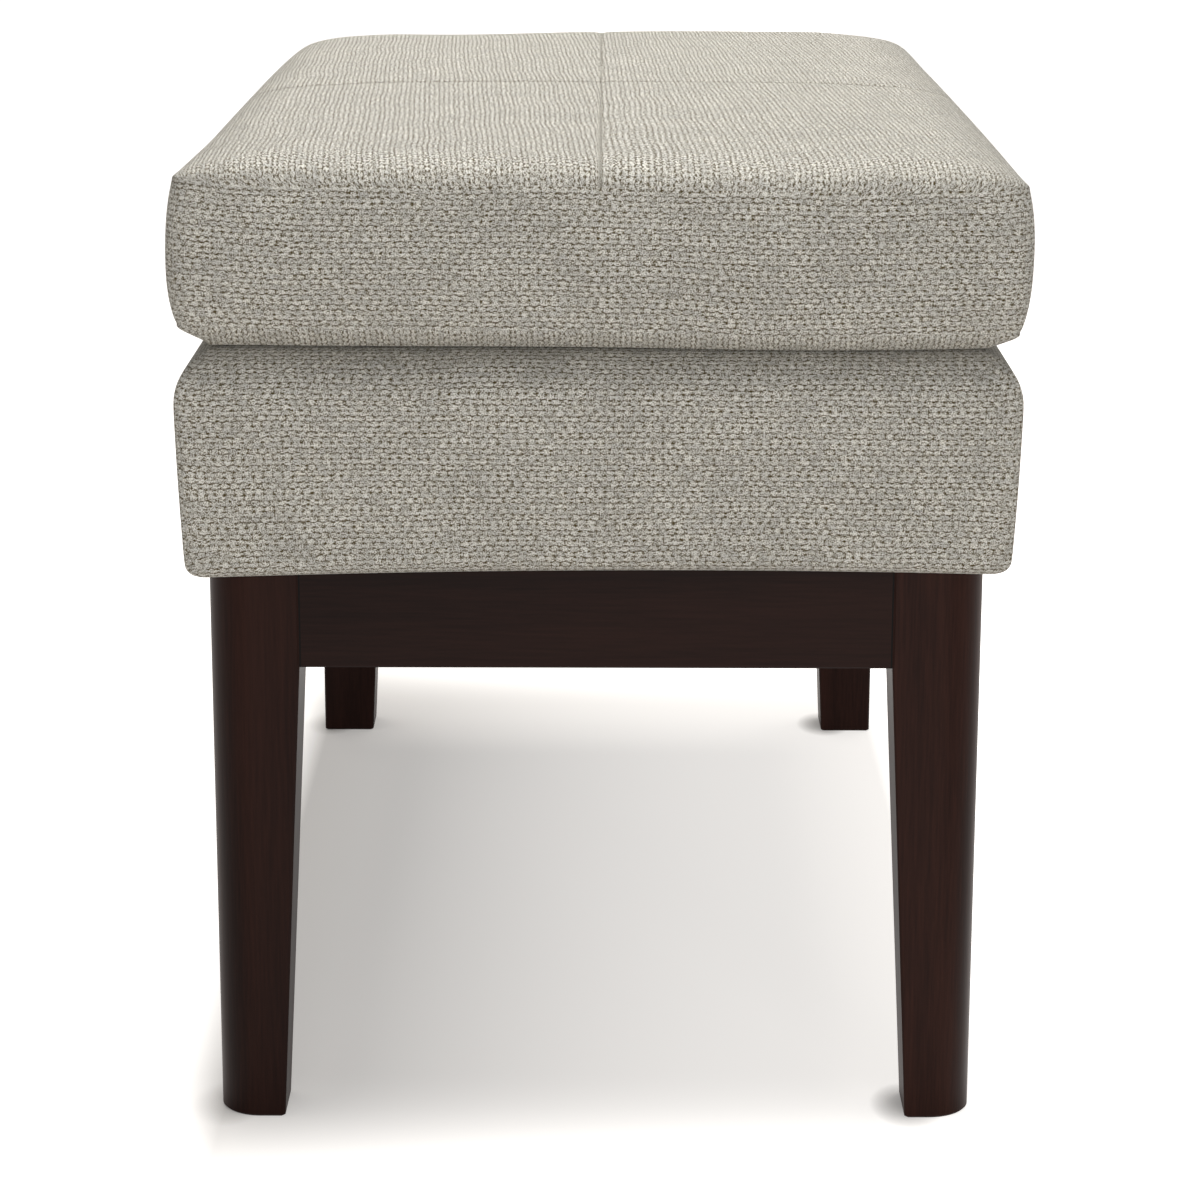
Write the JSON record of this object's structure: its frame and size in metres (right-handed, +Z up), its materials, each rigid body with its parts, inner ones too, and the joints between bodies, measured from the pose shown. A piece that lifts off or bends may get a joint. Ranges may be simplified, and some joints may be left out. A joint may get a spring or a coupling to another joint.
{
  "type": "ottoman bench",
  "caption": "Upholstered ottoman bench with a crowned box cushion on a padded fabric body, on a dark wood frame with tapered legs.",
  "frame": {"origin": "on the floor under the middle of the bench", "axes": "+X along the bench to the end that the picture shows, +Y to the right as seen there, +Z up"},
  "size_m": [0.759, 0.412, 0.484],
  "materials": {
    "dark_wood": "satin espresso stain",
    "frame_wood": "bare",
    "steel": "zinc plated",
    "upholstery": "coarse plain weave",
    "lining": "non-woven",
    "foam": "matt",
    "batting": "matt"
  },
  "bodies": {
    "root": {"apron_far": "dark_wood", "apron_left": "dark_wood", "apron_near": "dark_wood", "apron_right": "dark_wood", "body_cover_far": "upholstery", "body_cover_left": "upholstery", "body_cover_near": "upholstery", "body_cover_right": "upholstery", "corner_block_far_left": "frame_wood", "corner_block_far_right": "frame_wood", "corner_block_near_left": "frame_wood", "corner_block_near_right": "frame_wood", "corner_plate_far_left": "frame_wood", "corner_plate_far_right": "frame_wood", "corner_plate_near_left": "frame_wood", "corner_plate_near_right": "frame_wood", "cross_rail_far": "frame_wood", "cross_rail_near": "frame_wood", "cushion_batting": "batting", "cushion_boxing": "upholstery", "cushion_core": "foam", "cushion_top_far_left": "upholstery", "cushion_top_far_right": "upholstery", "cushion_top_near_left": "upholstery", "cushion_top_near_right": "upholstery", "cushion_underside": "upholstery", "deck_board": "frame_wood", "deck_lining": "lining", "deck_pad": "foam", "dust_cover": "lining", "hanger_bolts": "steel", "hanger_nuts": "steel", "hanger_washers": "steel", "lag_screws": "steel", "leg_far_left": "dark_wood", "leg_far_right": "dark_wood", "leg_near_left": "dark_wood", "leg_near_right": "dark_wood", "rail_far": "frame_wood", "rail_left": "frame_wood", "rail_near": "frame_wood", "rail_right": "frame_wood", "side_pad_far": "foam", "side_pad_left": "foam", "side_pad_near": "foam", "side_pad_right": "foam"}
  },
  "joints": []
}
